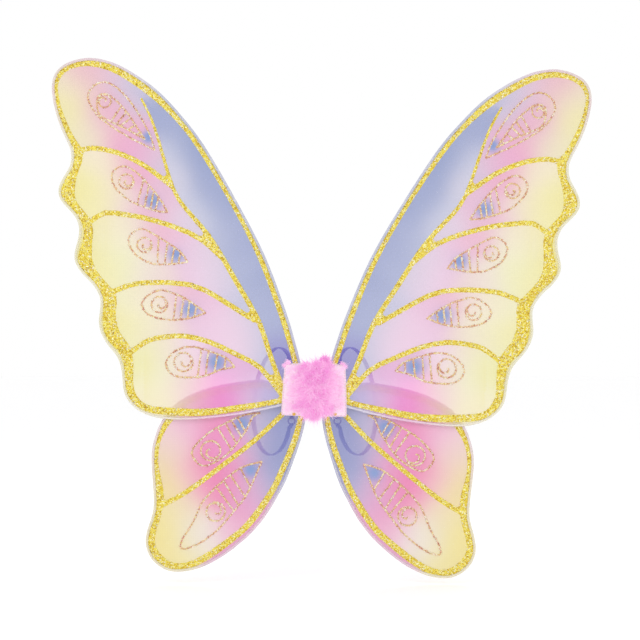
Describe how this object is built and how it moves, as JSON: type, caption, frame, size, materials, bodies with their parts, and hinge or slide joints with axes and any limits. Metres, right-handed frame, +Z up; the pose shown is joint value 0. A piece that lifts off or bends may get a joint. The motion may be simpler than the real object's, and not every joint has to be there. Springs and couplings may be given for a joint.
{
  "type": "fairy wings",
  "caption": "Dress-up butterfly wings of sheer cloth on bent wire loops with glitter veins, a fluffy padded centre and elastic arm loops; the wings fold forward.",
  "frame": {"origin": "centre of the centre pad's back face, the side that lies against the wearer", "axes": "+Z up, +X to the right of someone facing the fluffy outer side, +Y towards the wearer; the outer side faces -Y"},
  "size_m": [0.5395, 0.0588, 0.5207],
  "materials": {
    "cover_cloth": "pale pink satin cloth",
    "felt": "thin white-pink felt",
    "board": "grey-brown fibre board",
    "staple_steel": "bright steel",
    "foam": "soft white foam",
    "thread": "pink sewing thread",
    "fluff": "pink feathery fluff",
    "stud_brass": "polished brass",
    "tab_cloth": "pink ribbon",
    "ring_plastic": "translucent pink plastic",
    "elastic": "pink ribbed elastic",
    "wire_steel": "cloth-wrapped steel wire",
    "upper_cloth": "sheer cloth, yellow edge to pink to blue root",
    "lower_cloth": "sheer cloth, yellow edge to hot pink to blue root",
    "gold_glitter": "coarse gold glitter",
    "rose_glitter": "fine rose-gold glitter"
  },
  "bodies": {
    "root": {"back_cover": "cover_cloth", "back_felt": "felt", "core_board": "board", "wire_staples": "staple_steel", "front_foam": "foam", "front_cover": "cover_cloth", "cover_stitches": "thread", "fluff_patch": "fluff", "ring_studs": "stud_brass", "ring_tabs": "tab_cloth", "strap_rings": "ring_plastic", "strap_anchors": "elastic", "left_upper_root_wires": "wire_steel", "left_upper_root_skin": "upper_cloth", "left_upper_root_gold": "gold_glitter", "left_lower_root_wires": "wire_steel", "left_lower_root_skin": "lower_cloth", "left_lower_root_gold": "gold_glitter", "right_upper_root_wires": "wire_steel", "right_upper_root_skin": "upper_cloth", "right_upper_root_gold": "gold_glitter", "right_lower_root_wires": "wire_steel", "right_lower_root_skin": "lower_cloth", "right_lower_root_gold": "gold_glitter"},
    "left_upper_wing": {"left_upper_wire_frame": "wire_steel", "left_upper_skin": "upper_cloth", "left_upper_gold_glitter": "gold_glitter", "left_upper_rose_glitter": "rose_glitter"},
    "left_lower_wing": {"left_lower_wire_frame": "wire_steel", "left_lower_skin": "lower_cloth", "left_lower_gold_glitter": "gold_glitter", "left_lower_rose_glitter": "rose_glitter"},
    "left_strap": {"left_arm_loop": "elastic"},
    "right_upper_wing": {"right_upper_wire_frame": "wire_steel", "right_upper_skin": "upper_cloth", "right_upper_gold_glitter": "gold_glitter", "right_upper_rose_glitter": "rose_glitter"},
    "right_lower_wing": {"right_lower_wire_frame": "wire_steel", "right_lower_skin": "lower_cloth", "right_lower_gold_glitter": "gold_glitter", "right_lower_rose_glitter": "rose_glitter"},
    "right_strap": {"right_arm_loop": "elastic"}
  },
  "joints": [
    {"name": "left_upper_fold", "type": "hinge", "parent": "root", "child": "left_upper_wing", "pos_m": [-0.039, -0.0086, -0.014], "axis": [0.1405, 0, 0.9901], "range_deg": [-5, 45]},
    {"name": "left_lower_fold", "type": "hinge", "parent": "root", "child": "left_lower_wing", "pos_m": [-0.022, -0.0046, -0.058], "axis": [-0.4363, 0, 0.8998], "range_deg": [-5, 45]},
    {"name": "left_strap_swing", "type": "hinge", "parent": "root", "child": "left_strap", "pos_m": [-0.025, -0.0004, 0], "axis": [0, 0, -1], "range_deg": [-13, 75]},
    {"name": "right_upper_fold", "type": "hinge", "parent": "root", "child": "right_upper_wing", "pos_m": [0.03827, -0.0086, -0.01589], "axis": [0.092, 0, -0.9958], "range_deg": [-5, 45]},
    {"name": "right_lower_fold", "type": "hinge", "parent": "root", "child": "right_lower_wing", "pos_m": [0.01914, -0.0046, -0.05901], "axis": [-0.4797, 0, -0.8774], "range_deg": [-5, 45]},
    {"name": "right_strap_swing", "type": "hinge", "parent": "root", "child": "right_strap", "pos_m": [0.025, -0.0004, 0], "axis": [0, 0, 1], "range_deg": [-13, 75]}
  ],
  "couplings": [
    {"joint": "left_lower_fold", "follows": "left_upper_fold", "ratio": 1},
    {"joint": "right_lower_fold", "follows": "right_upper_fold", "ratio": 1}
  ]
}
